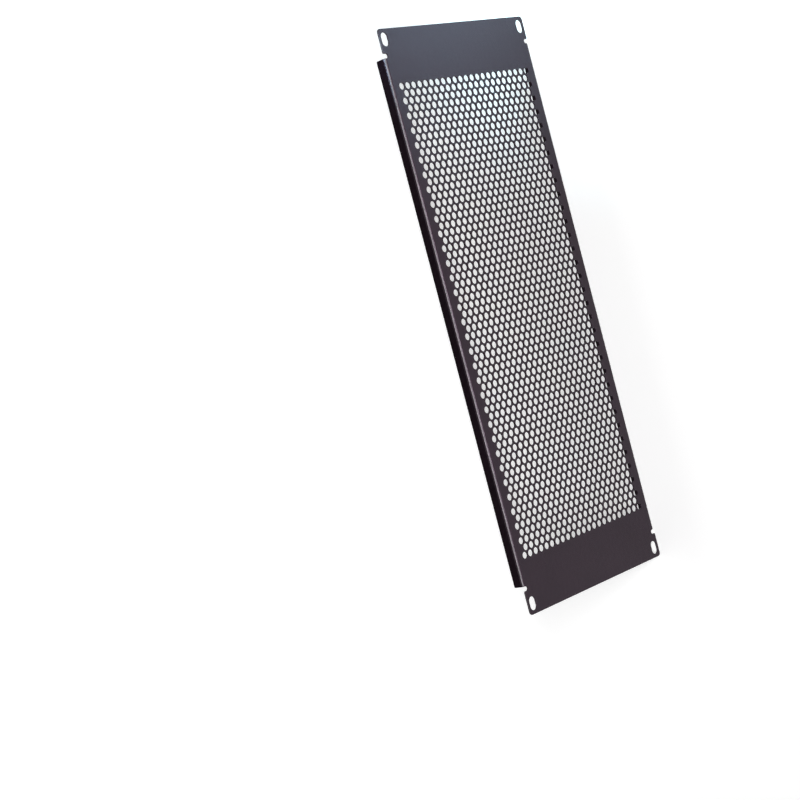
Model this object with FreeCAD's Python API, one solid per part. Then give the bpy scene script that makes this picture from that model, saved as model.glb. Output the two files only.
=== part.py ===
import FreeCAD, Part
import math
import os

# A vented 4U rack blanking panel, folded from one steel sheet. Millimetres.
# +X runs along the 19 inch width, +Z up the rack, +Y to the rear. The origin is the middle of
# the four mounting slots, on the rear plane of the ears, which bears on the rack's rails.

# Outline, to the 19 inch rack standard
PANEL_WIDTH = 482.6
RACK_UNITS = 4
UNIT_HEIGHT = 44.45
HEIGHT_ALLOWANCE = 0.8
EAR_CORNER_RADIUS = 3.0

# Sheet and folds
SHEET = 1.2
BEND_INNER_RADIUS = 1.2
OVERALL_DEPTH = 10.0
FLANGE_CORNER_RADIUS = 1.0

# Ears, and the round-ended reliefs that part them from the folds
EAR_LENGTH = 20.2
EAR_INNER_RADIUS = 1.0
RELIEF_WIDTH = 3.6
RELIEF_CLEARANCE = 0.3

# Mounting slots, measured in from the ear's end and from the long edge
SLOT_WIDTH = 7.0
SLOT_LENGTH = 11.2
SLOT_INSET_X = 8.75
SLOT_INSET_Z = 5.95

# Round perforations on a 60 degree staggered pattern
HOLE_DIAMETER = 5.5
HOLE_PITCH = 7.0
FIELD_MARGIN_X = 47.0
FIELD_MARGIN_Z = 11.0

# Worked out from the sizes above
half_width = PANEL_WIDTH / 2
half_height = (RACK_UNITS * UNIT_HEIGHT - HEIGHT_ALLOWANCE) / 2
bend_outer_radius = BEND_INNER_RADIUS + SHEET
bend_line_z = half_height - bend_outer_radius
ear_start_x = half_width - EAR_LENGTH
flange_end_x = ear_start_x - RELIEF_WIDTH
flange_edge_y = OVERALL_DEPTH - SHEET
relief_floor_z = bend_line_z - RELIEF_CLEARANCE - RELIEF_WIDTH / 2
row_pitch = HOLE_PITCH * math.sqrt(3) / 2

FRONT_Y = -SHEET
REAR_Y = 0.0


def on_front(x, z):
    """A point of the sheet's front plane."""
    return FreeCAD.Vector(x, FRONT_Y, z)


def on_flange(x, y):
    """A point of the upper flange's inner plane."""
    return FreeCAD.Vector(x, y, half_height - SHEET)


def rounded_wire(corners, place):
    """A closed wire through square corners, each given as two coordinates and a radius."""
    starts = []
    ends = []
    arcs = []
    for k, (a, b, radius) in enumerate(corners):
        corner = place(a, b)
        before = place(*corners[k - 1][:2])
        after = place(*corners[(k + 1) % len(corners)][:2])
        back = (before - corner).normalize()
        ahead = (after - corner).normalize()
        start = corner + back * radius
        end = corner + ahead * radius
        starts.append(start)
        ends.append(end)
        if radius > 0:
            centre = start + ahead * radius
            middle = centre + (corner - centre).normalize() * radius
            arcs.append(Part.Arc(start, middle, end).toShape())
        else:
            arcs.append(None)
    edges = []
    for k, arc in enumerate(arcs):
        if arc:
            edges.append(arc)
        next_start = starts[(k + 1) % len(starts)]
        if (next_start - ends[k]).Length > 1e-6:
            edges.append(Part.LineSegment(ends[k], next_start).toShape())
    return Part.Wire(edges)


def sheet_outline():
    """The flat front sheet: two ears, four bend reliefs, and the two bend lines between them."""
    relief_radius = RELIEF_WIDTH / 2
    quarter = [
        (flange_end_x, bend_line_z, 0),
        (flange_end_x, relief_floor_z, relief_radius),
        (ear_start_x, relief_floor_z, relief_radius),
        (ear_start_x, half_height, EAR_INNER_RADIUS),
        (half_width, half_height, EAR_CORNER_RADIUS),
    ]
    right_lower = [(x, -z, r) for x, z, r in reversed(quarter)]
    left_lower = [(-x, -z, r) for x, z, r in quarter]
    left_upper = [(-x, z, r) for x, z, r in reversed(quarter)]
    return rounded_wire(quarter + right_lower + left_lower + left_upper, on_front)


def slot_outlines():
    """The four round-ended mounting slots, long way along the panel."""
    centre_x = half_width - SLOT_INSET_X
    centre_z = half_height - SLOT_INSET_Z
    half_length = SLOT_LENGTH / 2
    radius = SLOT_WIDTH / 2
    wires = []
    for x in (-centre_x, centre_x):
        for z in (-centre_z, centre_z):
            corners = [
                (x - half_length, z - radius, radius),
                (x + half_length, z - radius, radius),
                (x + half_length, z + radius, radius),
                (x - half_length, z + radius, radius),
            ]
            wires.append(rounded_wire(corners, on_front))
    return wires


def perforation_centres():
    """Hole centres in upright rows, every second row shifted by half a pitch."""
    outer_row = math.floor((half_width - FIELD_MARGIN_X) / row_pitch)
    outer_hole = math.floor((half_height - FIELD_MARGIN_Z) / HOLE_PITCH)
    centres = []
    for row in range(-outer_row, outer_row + 1):
        shift = (outer_row - row) % 2 / 2
        for hole in range(-outer_hole, outer_hole + 1):
            if hole + shift <= outer_hole:
                centres.append((row * row_pitch, (hole + shift) * HOLE_PITCH))
    return centres


def perforations():
    """The perforations' circles in the front plane."""
    facing = FreeCAD.Vector(0, -1, 0)
    return [
        Part.Wire(Part.makeCircle(HOLE_DIAMETER / 2, on_front(x, z), facing))
        for x, z in perforation_centres()
    ]


def front_sheet():
    """The flat sheet with its slots and perforations punched through."""
    face = Part.Face([sheet_outline()] + slot_outlines() + perforations())
    return face.extrude(FreeCAD.Vector(0, SHEET, 0))


def upper_bend():
    """The quarter turn from the sheet's upper bend line back to the flange."""
    start = on_front(-flange_end_x, bend_line_z)
    end = on_front(flange_end_x, bend_line_z)
    bend_line = Part.LineSegment(start, end).toShape()
    cut_edge = bend_line.extrude(FreeCAD.Vector(0, SHEET, 0))
    bend_axis = FreeCAD.Vector(0, REAR_Y + BEND_INNER_RADIUS, bend_line_z)
    return cut_edge.revolve(bend_axis, FreeCAD.Vector(-1, 0, 0), 90)


def upper_flange():
    """The flat flange behind the upper bend, with its two free corners rounded."""
    corners = [
        (-flange_end_x, REAR_Y + BEND_INNER_RADIUS, 0),
        (flange_end_x, REAR_Y + BEND_INNER_RADIUS, 0),
        (flange_end_x, flange_edge_y, FLANGE_CORNER_RADIUS),
        (-flange_end_x, flange_edge_y, FLANGE_CORNER_RADIUS),
    ]
    face = Part.Face(rounded_wire(corners, on_flange))
    return face.extrude(FreeCAD.Vector(0, 0, SHEET))


def blanking_panel():
    """The whole panel as one folded sheet."""
    upper_fold = upper_bend().fuse(upper_flange())
    lower_fold = upper_fold.mirror(FreeCAD.Vector(0, 0, 0), FreeCAD.Vector(0, 0, 1))
    return front_sheet().fuse([upper_fold, lower_fold]).removeSplitter().Solids[0]


os.makedirs("parts", exist_ok=True)
blanking_panel().exportStep("parts/blanking_panel.step")
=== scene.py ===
import math

import bpy
from mathutils import Matrix, Vector
from mathutils.geometry import delaunay_2d_cdt


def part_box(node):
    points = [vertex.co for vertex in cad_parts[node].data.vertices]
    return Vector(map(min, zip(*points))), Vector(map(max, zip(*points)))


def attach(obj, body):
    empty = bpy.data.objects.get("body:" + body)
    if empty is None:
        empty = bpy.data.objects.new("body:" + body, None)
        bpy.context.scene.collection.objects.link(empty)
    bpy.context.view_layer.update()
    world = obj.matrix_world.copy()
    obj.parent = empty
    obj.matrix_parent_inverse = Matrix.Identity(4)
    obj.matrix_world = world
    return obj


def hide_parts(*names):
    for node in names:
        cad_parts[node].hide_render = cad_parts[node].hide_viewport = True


# The vented rack panel in its powder coat, in metres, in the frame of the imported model:
# +X along the 19 inch width, +Z up the rack, +Y to the rear. The face looks towards -Y.

NODE = "blanking_panel"

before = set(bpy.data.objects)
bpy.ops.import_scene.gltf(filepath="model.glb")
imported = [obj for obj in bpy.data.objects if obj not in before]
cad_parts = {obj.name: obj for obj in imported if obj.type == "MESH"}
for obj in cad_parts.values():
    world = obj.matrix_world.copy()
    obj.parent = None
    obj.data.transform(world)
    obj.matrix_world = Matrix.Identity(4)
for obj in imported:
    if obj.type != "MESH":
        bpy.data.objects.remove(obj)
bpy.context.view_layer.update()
low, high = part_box(NODE)

# ---------------------------------------------------------------- sizes
HALF_WIDTH = high.x
HALF_HEIGHT = high.z
FLANGE_REACH = high.y
FRONT_Y = low.y
SHEET = -low.y

BEND_INNER_RADIUS = 0.0012
FLANGE_CORNER_RADIUS = 0.001
EAR_LENGTH = 0.0202
EAR_CORNER_RADIUS = 0.003
EAR_INNER_RADIUS = 0.001
RELIEF_WIDTH = 0.0036
RELIEF_CLEARANCE = 0.0003
SLOT_WIDTH = 0.007
SLOT_LENGTH = 0.0112
SLOT_INSET_X = 0.00875
SLOT_INSET_Z = 0.00595
HOLE_DIAMETER = 0.0055
HOLE_PITCH = 0.007
FIELD_MARGIN_X = 0.047
FIELD_MARGIN_Z = 0.011

# How far the coat rounds an edge, how finely curves are drawn, and when two points are one
COAT_ROUND = 0.0003
HOLE_SEGMENTS = 20
CORNER_SEGMENTS = 6
BEND_SEGMENTS = 10
SAME_POINT = 1e-7
SAME_LINE = 1e-6
MERGE_DISTANCE = 1e-9

bend_radius = BEND_INNER_RADIUS + SHEET
bend_line = HALF_HEIGHT - bend_radius
bend_length = bend_radius * math.pi / 2
free_edge = bend_line + bend_length + FLANGE_REACH - BEND_INNER_RADIUS
ear_start = HALF_WIDTH - EAR_LENGTH
flange_end = ear_start - RELIEF_WIDTH
relief_middle = ear_start - RELIEF_WIDTH / 2
relief_floor = bend_line - RELIEF_CLEARANCE - RELIEF_WIDTH / 2
row_pitch = HOLE_PITCH * math.sqrt(3) / 2

# ---------------------------------------------------------------- looks of the powder coat
# Three noises: a fine grain, a slight ripple and a broad clouding, each used between its usual
# lowest and highest values
GRAIN_SIZE = 0.0007
GRAIN_DETAIL = 2
GRAIN_ROUGHNESS = 0.5
GRAIN_STRENGTH = 0.25
GRAIN_HEIGHT = 0.00015
GRAIN_DARKEST = 0.75
GRAIN_LIGHTEST = 1.25
RIPPLE_SIZE = 0.0035
RIPPLE_DETAIL = 1
RIPPLE_ROUGHNESS = 0.4
RIPPLE_STRENGTH = 0.15
RIPPLE_HEIGHT = 0.0004
CLOUDING_SIZE = 0.03
CLOUDING_DETAIL = 3
CLOUDING_ROUGHNESS = 0.55
NOISE_LOW = 0.3
NOISE_HIGH = 0.7
COAT_DARK = (0.0050, 0.0024, 0.0043)
COAT_LIGHT = (0.0078, 0.0038, 0.0066)
# A pale grey painted into the base colour along the outside of the bends: a painted highlight
PAINTED_BEND_HIGHLIGHT = (0.13, 0.13, 0.13)
COAT_IOR = 1.43
GLOSS_TINT = (0.80, 0.59, 0.77)
ROUGH_LOW = 0.20
ROUGH_HIGH = 0.27

# Twice the product of a normal's forward and outward parts is 0 on the flat faces and 1 in the
# middle of a bend; the painted highlight starts at the first of these and is whole at the second
PAINTED_HIGHLIGHT_STARTS = 0.80
PAINTED_HIGHLIGHT_FULL = 0.97

# ---------------------------------------------------------------- studio
# The floor's lift grows between two distances from its middle, and the horizon fades to the
# sky between two steepnesses, which are the upward part of a direction of length one
PAPER = (0.86, 0.86, 0.86)
PAPER_ROUGHNESS = 0.9
PAPER_SPECULAR = 0.1
FLOOR_SIZE = 16.0
FLOOR_LIFT = 0.38
FAR_FLOOR_LIFT = 0.97
LAMPLIT_REACH = 1.0
UNLIT_REACH = 2.6
SKY = (1.0, 1.0, 1.0)
SKY_STRENGTH = 0.05
WHITE_STRENGTH = 1.0
HORIZON_TOP = 0.15
SKY_FROM = 0.45
NEUTRAL_LIGHT = (1.0, 1.0, 1.0)
BLUISH_LIGHT = (0.53, 0.88, 1.0)

# The camera stands in front, high up and turned on its side, so that +X is up in the picture
CAMERA_PLACE = Vector((0.0093, -0.9453, 1.0668))
CAMERA_AHEAD = Vector((-0.0414, 0.7235, -0.6891))
CAMERA_UP = Vector((0.9659, -0.1474, -0.2127))
CAMERA_LENS = 76.77
CAMERA_SENSOR = 36.0


# ---------------------------------------------------------------- the flat blank, as loops of points
# A loop is a list of (x, s, nx, ns): a point of the blank's front surface, s running up the sheet
# and over the folds, and the direction that points out of the steel there.

def rounded_loop(corners):
    """Walks the corners, each (x, s, radius), with the steel on the left, and rounds them off."""
    loop = []
    for k, (x, s, radius) in enumerate(corners):
        corner = Vector((x, s))
        back = (Vector(corners[k - 1][:2]) - corner).normalized()
        ahead = (Vector(corners[(k + 1) % len(corners)][:2]) - corner).normalized()
        if radius == 0:
            loop.append((x, s, ahead.y, -ahead.x))
            continue
        centre = corner + (back + ahead) * radius
        side = 1 if (-back).cross(ahead) > 0 else -1
        for step in range(CORNER_SEGMENTS + 1):
            turn = step / CORNER_SEGMENTS * math.pi / 2
            out = -ahead * math.cos(turn) - back * math.sin(turn)
            point = centre + out * radius
            loop.append((point.x, point.y, out.x * side, out.y * side))
    return [here for k, here in enumerate(loop) if math.dist(here[:2], loop[k - 1][:2]) > SAME_POINT]


def blank_outline():
    """The outline of the unfolded blank: two ears, four bend reliefs and two flanges."""
    bend_stops = [bend_line + bend_length * k / BEND_SEGMENTS for k in range(BEND_SEGMENTS + 1)]
    half_relief = RELIEF_WIDTH / 2
    quarter = [
        (HALF_WIDTH, HALF_HEIGHT, EAR_CORNER_RADIUS),
        (ear_start, HALF_HEIGHT, EAR_INNER_RADIUS),
        (ear_start, relief_floor, half_relief),
        (flange_end, relief_floor, half_relief),
        *((flange_end, stop, 0) for stop in bend_stops),
        (flange_end, free_edge, FLANGE_CORNER_RADIUS),
    ]
    left_upper = [(-x, s, r) for x, s, r in reversed(quarter)]
    left_lower = [(-x, -s, r) for x, s, r in quarter]
    right_lower = [(x, -s, r) for x, s, r in reversed(quarter)]
    return rounded_loop(quarter + left_upper + left_lower + right_lower)


def slot_loops():
    """The four mounting slots. A cut-out is walked clockwise, so the steel stays on its left."""
    loops = []
    half_length = SLOT_LENGTH / 2
    radius = SLOT_WIDTH / 2
    for x in (SLOT_INSET_X - HALF_WIDTH, HALF_WIDTH - SLOT_INSET_X):
        for s in (SLOT_INSET_Z - HALF_HEIGHT, HALF_HEIGHT - SLOT_INSET_Z):
            loops.append(rounded_loop([
                (x - half_length, s - radius, radius),
                (x - half_length, s + radius, radius),
                (x + half_length, s + radius, radius),
                (x + half_length, s - radius, radius),
            ]))
    return loops


def hole_loops():
    """The perforations: upright rows, every second one shifted by half a pitch."""
    loops = []
    outer_row = math.floor((HALF_WIDTH - FIELD_MARGIN_X) / row_pitch)
    outer_hole = math.floor((HALF_HEIGHT - FIELD_MARGIN_Z) / HOLE_PITCH)
    radius = HOLE_DIAMETER / 2
    turns = [-math.tau * k / HOLE_SEGMENTS for k in range(HOLE_SEGMENTS)]
    rim = [(math.cos(turn), math.sin(turn)) for turn in turns]
    for row in range(-outer_row, outer_row + 1):
        shift = (outer_row - row) % 2 / 2
        for hole in range(-outer_hole, outer_hole + 1):
            if hole + shift > outer_hole:
                continue
            x = row * row_pitch
            s = (hole + shift) * HOLE_PITCH
            loops.append([(x + radius * c, s + radius * d, -c, -d) for c, d in rim])
    return loops


# ---------------------------------------------------------------- folding the blank

def fold(x, s, depth):
    """Where a point of the blank ends up, depth below the front surface, with that surface's
    outward direction and the direction in which s runs there."""
    side = 1 if s > 0 else -1
    past = abs(s) - bend_line
    if past <= 0 or abs(x) > relief_middle:
        return Vector((x, FRONT_Y + depth, s)), Vector((0, -1, 0)), Vector((0, 0, 1))
    turn = min(past / bend_radius, math.pi / 2)
    straight = max(past - bend_length, 0)
    radius = bend_radius - depth
    y = BEND_INNER_RADIUS - radius * math.cos(turn) + straight
    z = bend_line + radius * math.sin(turn)
    outward = Vector((0, -math.cos(turn), side * math.sin(turn)))
    along = Vector((0, side * math.sin(turn), math.cos(turn)))
    return Vector((x, y, side * z)), outward, along


def cut_profile(rounded_rear):
    """The rings down a cut edge, each (step back into the steel, depth, turn away from the face).
    A punched hole is rounded where the punch went in and crisp at the rear."""
    lean = COAT_ROUND * (1 - math.sqrt(0.5))
    square = math.pi / 2
    if not rounded_rear:
        return [(COAT_ROUND, 0, 0), (0, COAT_ROUND, square), (0, SHEET, square)]
    front = [(COAT_ROUND, 0, 0), (lean, lean, square / 2), (0, COAT_ROUND, square)]
    return front + [(back, SHEET - depth, math.pi - turn) for back, depth, turn in reversed(front)]


def bend_lines(outline):
    """The lines across the folds, as pairs of places in the outline."""
    ends = {}
    for k, (x, s, _, _) in enumerate(outline):
        past = abs(s) - bend_line
        if abs(x) < relief_middle and -SAME_LINE < past < bend_length + SAME_LINE:
            ends.setdefault(round(s, 7), []).append(k)
    return [tuple(pair) for pair in ends.values()]


def folded_mesh(name, outline, slots, holes):
    """One closed mesh of the folded sheet, with normals that roll over its coated edges."""
    points = []
    faces = []
    shading = []
    front_rim = []
    front_of = []
    rear_of = []
    loop_of = []
    constraints = bend_lines(outline)

    for number, loop in enumerate([outline] + slots + holes):
        profile = cut_profile(rounded_rear=number <= len(slots))
        count = len(loop)
        first = len(points)
        last_ring = first + (len(profile) - 1) * count
        normals = []
        for back, depth, turn in profile:
            for x, s, nx, ns in loop:
                place, outward, along = fold(x - nx * back, s - ns * back, depth)
                sideways = (Vector((nx, 0, 0)) + along * ns).normalized()
                points.append(place)
                normals.append(outward * math.cos(turn) + sideways * math.sin(turn))
        for start in range(first, last_ring, count):
            for k in range(count):
                a = start + k
                b = start + (k + 1) % count
                quad = (a, a + count, b + count, b)
                faces.append(quad)
                shading.extend(normals[q - first] for q in quad)
        for k, (x, s, nx, ns) in enumerate(loop):
            rim_point = len(front_rim)
            next_point = rim_point + 1 if k < count - 1 else rim_point - k
            constraints.append((rim_point, next_point))
            front_rim.append(Vector((x - nx * COAT_ROUND, s - ns * COAT_ROUND)))
            front_of.append(first + k)
            rear_of.append(last_ring + k)
            loop_of.append(number)

    # The rims are filled with triangles, and those that span a slot or a hole are left out
    triangles = delaunay_2d_cdt(front_rim, constraints, [], 1, MERGE_DISTANCE)[2]
    for triangle in triangles:
        a, b, c = triangle
        if loop_of[a] and loop_of[a] == loop_of[b] == loop_of[c]:
            continue
        outward = [fold(*front_rim[q], 0)[1] for q in triangle]
        faces.append([front_of[q] for q in triangle])
        shading.extend(outward)
        faces.append([rear_of[q] for q in reversed(triangle)])
        shading.extend(-n for n in reversed(outward))

    mesh = bpy.data.meshes.new(name)
    mesh.from_pydata(points, [], faces)
    mesh.polygons.foreach_set("use_smooth", [True] * len(faces))
    mesh.normals_split_custom_set(shading)
    mesh.update()
    return mesh


# ---------------------------------------------------------------- node helpers

def feed(tree, socket, value):
    """Links another node's output to a socket, or sets the socket to a plain value."""
    if isinstance(value, bpy.types.NodeSocket):
        tree.links.new(value, socket)
    else:
        socket.default_value = value


def calculated(tree, operation, first, second=0.0):
    node = tree.nodes.new("ShaderNodeMath")
    node.operation = operation
    feed(tree, node.inputs[0], first)
    feed(tree, node.inputs[1], second)
    return node.outputs["Value"]


def remapped(tree, source, from_low, from_high, to_low, to_high):
    node = tree.nodes.new("ShaderNodeMapRange")
    node.inputs["From Min"].default_value = from_low
    node.inputs["From Max"].default_value = from_high
    node.inputs["To Min"].default_value = to_low
    node.inputs["To Max"].default_value = to_high
    feed(tree, node.inputs["Value"], source)
    return node.outputs["Result"]


def mixed(tree, data_type, factor, first, second, blend_type="MIX"):
    node = tree.nodes.new("ShaderNodeMix")
    node.data_type = data_type
    node.blend_type = blend_type
    feed(tree, node.inputs["Factor"], factor)
    feed(tree, node.inputs["A"], first)
    feed(tree, node.inputs["B"], second)
    return node.outputs["Result"]


def noise(tree, vector, size, detail, roughness):
    node = tree.nodes.new("ShaderNodeTexNoise")
    node.inputs["Scale"].default_value = 1 / size
    node.inputs["Detail"].default_value = detail
    node.inputs["Roughness"].default_value = roughness
    feed(tree, node.inputs["Vector"], vector)
    return node.outputs["Fac"]


def bump(tree, height, strength, distance):
    node = tree.nodes.new("ShaderNodeBump")
    node.inputs["Strength"].default_value = strength
    node.inputs["Distance"].default_value = distance
    feed(tree, node.inputs["Height"], height)
    return node


def parts_of(tree, vector):
    node = tree.nodes.new("ShaderNodeSeparateXYZ")
    feed(tree, node.inputs["Vector"], vector)
    return node.outputs


def seen_directly(tree):
    """One for camera, glossy and transmission rays, and zero for the rays that carry light."""
    path = tree.nodes.new("ShaderNodeLightPath")
    seen = path.outputs["Is Camera Ray"]
    for kind in ("Is Glossy Ray", "Is Transmission Ray"):
        seen = calculated(tree, "MAXIMUM", seen, path.outputs[kind])
    return seen


# ---------------------------------------------------------------- materials

def painted_highlight_mask(tree, place):
    """The mask of the painted highlight: one in the middle of the outside of the two bends, and zero
    on the rest of the panel.
    """
    normal = parts_of(tree, place.outputs["Normal"])
    point = parts_of(tree, place.outputs["Object"])
    outward = calculated(tree, "ABSOLUTE", normal["Z"])
    forward = calculated(tree, "MULTIPLY", normal["Y"], -2.0)
    lean = calculated(tree, "MULTIPLY", outward, forward)
    from_middle = calculated(tree, "ABSOLUTE", point["Z"])
    past_bend_line = calculated(tree, "GREATER_THAN", from_middle, bend_line)
    bent = calculated(tree, "MULTIPLY", lean, past_bend_line)
    return remapped(tree, bent, PAINTED_HIGHLIGHT_STARTS, PAINTED_HIGHLIGHT_FULL, 0.0, 1.0)


def powder_coat(name):
    """Black powder coat: satin, clouded, with a fine grain under a slight ripple, and with a highlight
    painted as a paler base colour over the outside of the bends."""
    material = bpy.data.materials.new(name)
    material.use_nodes = True
    tree = material.node_tree
    shader = tree.nodes["Principled BSDF"]
    shader.inputs["Metallic"].default_value = 0.0
    shader.inputs["IOR"].default_value = COAT_IOR
    shader.inputs["Specular Tint"].default_value = (*GLOSS_TINT, 1)

    place = tree.nodes.new("ShaderNodeTexCoord")
    point = place.outputs["Object"]
    grain = noise(tree, point, GRAIN_SIZE, GRAIN_DETAIL, GRAIN_ROUGHNESS)
    ripple = noise(tree, point, RIPPLE_SIZE, RIPPLE_DETAIL, RIPPLE_ROUGHNESS)
    clouding = noise(tree, point, CLOUDING_SIZE, CLOUDING_DETAIL, CLOUDING_ROUGHNESS)

    cloud = remapped(tree, clouding, NOISE_LOW, NOISE_HIGH, 0, 1)
    clouded = mixed(tree, "RGBA", cloud, (*COAT_DARK, 1), (*COAT_LIGHT, 1))
    speckle = remapped(tree, grain, NOISE_LOW, NOISE_HIGH, GRAIN_DARKEST, GRAIN_LIGHTEST)
    speckled = mixed(tree, "RGBA", 1.0, clouded, speckle, blend_type="MULTIPLY")
    # Painted highlight: the base colour turns pale grey along the outside of the bends
    with_painted_highlight = mixed(tree, "RGBA", painted_highlight_mask(tree, place), speckled, (*PAINTED_BEND_HIGHLIGHT, 1))
    feed(tree, shader.inputs["Base Color"], with_painted_highlight)

    roughness = remapped(tree, ripple, NOISE_LOW, NOISE_HIGH, ROUGH_LOW, ROUGH_HIGH)
    feed(tree, shader.inputs["Roughness"], roughness)

    fine = bump(tree, grain, GRAIN_STRENGTH, GRAIN_HEIGHT)
    broad = bump(tree, ripple, RIPPLE_STRENGTH, RIPPLE_HEIGHT)
    feed(tree, broad.inputs["Normal"], fine.outputs["Normal"])
    feed(tree, shader.inputs["Normal"], broad.outputs["Normal"])
    return material


def paper_floor(name):
    """White paper that stays white in the picture and in gloss, and still takes shadows."""
    material = bpy.data.materials.new(name)
    material.use_nodes = True
    tree = material.node_tree
    shader = tree.nodes["Principled BSDF"]
    shader.inputs["Base Color"].default_value = (*PAPER, 1)
    shader.inputs["Roughness"].default_value = PAPER_ROUGHNESS
    shader.inputs["Specular IOR Level"].default_value = PAPER_SPECULAR
    shader.inputs["Emission Color"].default_value = (1, 1, 1, 1)

    # The lift grows outwards, where the lamps no longer reach
    place = tree.nodes.new("ShaderNodeTexCoord")
    distance = tree.nodes.new("ShaderNodeVectorMath")
    distance.operation = "LENGTH"
    feed(tree, distance.inputs[0], place.outputs["Object"])
    reach = distance.outputs["Value"]
    lift = remapped(tree, reach, LAMPLIT_REACH, UNLIT_REACH, FLOOR_LIFT, FAR_FLOOR_LIFT)
    seen_lift = calculated(tree, "MULTIPLY", seen_directly(tree), lift)
    feed(tree, shader.inputs["Emission Strength"], seen_lift)
    return material


def studio_world(name):
    """A dim even light all round, and a white horizon that only the camera and gloss see."""
    world = bpy.data.worlds.new(name)
    world.use_nodes = True
    tree = world.node_tree
    background = tree.nodes["Background"]
    background.inputs["Color"].default_value = (*SKY, 1)
    direction = parts_of(tree, tree.nodes.new("ShaderNodeTexCoord").outputs["Generated"])
    horizon = remapped(tree, direction["Z"], HORIZON_TOP, SKY_FROM, WHITE_STRENGTH, SKY_STRENGTH)
    strength = mixed(tree, "FLOAT", seen_directly(tree), SKY_STRENGTH, horizon)
    feed(tree, background.inputs["Strength"], strength)
    return world


# ---------------------------------------------------------------- lamps, floor and camera

def soft_light(name, place, aim, size, power, colour=NEUTRAL_LIGHT, spread=180):
    """A rectangular lamp that the camera doesn't see. Its light fans out over spread degrees."""
    lamp = bpy.data.lights.new(name, "AREA")
    lamp.spread = math.radians(spread)
    lamp.shape = "RECTANGLE"
    lamp.size, lamp.size_y = size
    lamp.energy = power
    lamp.color = colour
    obj = bpy.data.objects.new(name, lamp)
    obj.location = place
    obj.visible_camera = False
    obj.rotation_euler = (Vector(aim) - Vector(place)).to_track_quat("-Z", "Y").to_euler()
    bpy.context.scene.collection.objects.link(obj)


def studio_floor(name):
    """A square of paper that the panel's lower edge stands on."""
    half = FLOOR_SIZE / 2
    corners = [(-half, -half), (half, -half), (half, half), (-half, half)]
    mesh = bpy.data.meshes.new(name)
    mesh.from_pydata([(x, y, low.z) for x, y in corners], [], [(0, 1, 2, 3)])
    mesh.materials.append(paper_floor("white_paper"))
    obj = bpy.data.objects.new(name, mesh)
    bpy.context.scene.collection.objects.link(obj)
    return obj


def aimed_camera(name):
    """The camera at the photograph's viewing angle."""
    ahead = CAMERA_AHEAD.normalized()
    across = ahead.cross(CAMERA_UP).normalized()
    up = across.cross(ahead)
    data = bpy.data.cameras.new(name)
    data.sensor_width = CAMERA_SENSOR
    data.lens = CAMERA_LENS
    obj = bpy.data.objects.new(name, data)
    turned = Matrix((across, up, -ahead)).transposed()
    obj.matrix_world = Matrix.Translation(CAMERA_PLACE) @ turned.to_4x4()
    bpy.context.scene.collection.objects.link(obj)
    return obj


# ---------------------------------------------------------------- the scene

panel_mesh = folded_mesh("panel", blank_outline(), slot_loops(), hole_loops())
panel_mesh.materials.append(powder_coat("black_powder_coat"))
panel = bpy.data.objects.new("coated_panel", panel_mesh)
bpy.context.scene.collection.objects.link(panel)
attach(panel, "root")
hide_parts(NODE)

floor = studio_floor("floor")
bpy.context.scene.world = studio_world("studio")

# The key and front lamps light the face, and the back lamp lights the floor that shows through
# the holes. The end lamp lays a bluish patch on the floor, which the panel's +X end reflects.
soft_light("key", place=(-0.05, -1.12, 1.30), aim=(0, 0, 0), size=(1.0, 0.14), power=22)
soft_light("front", place=(0, -4.0, 0.42), aim=(0, 0, 0), size=(1.7, 0.45), power=85)
soft_light("end", place=(0.36, -0.09, 0.45), aim=(0.36, -0.09, 0), size=(0.2, 0.2), power=1.05,
           colour=BLUISH_LIGHT, spread=46)
soft_light("back", place=(-0.1, 0.95, 1.0), aim=(-0.1, 0.95, 0), size=(2.6, 1.5), power=7.2, spread=70)

bpy.context.scene.camera = aimed_camera("camera")
bpy.context.scene.view_settings.view_transform = "Standard"
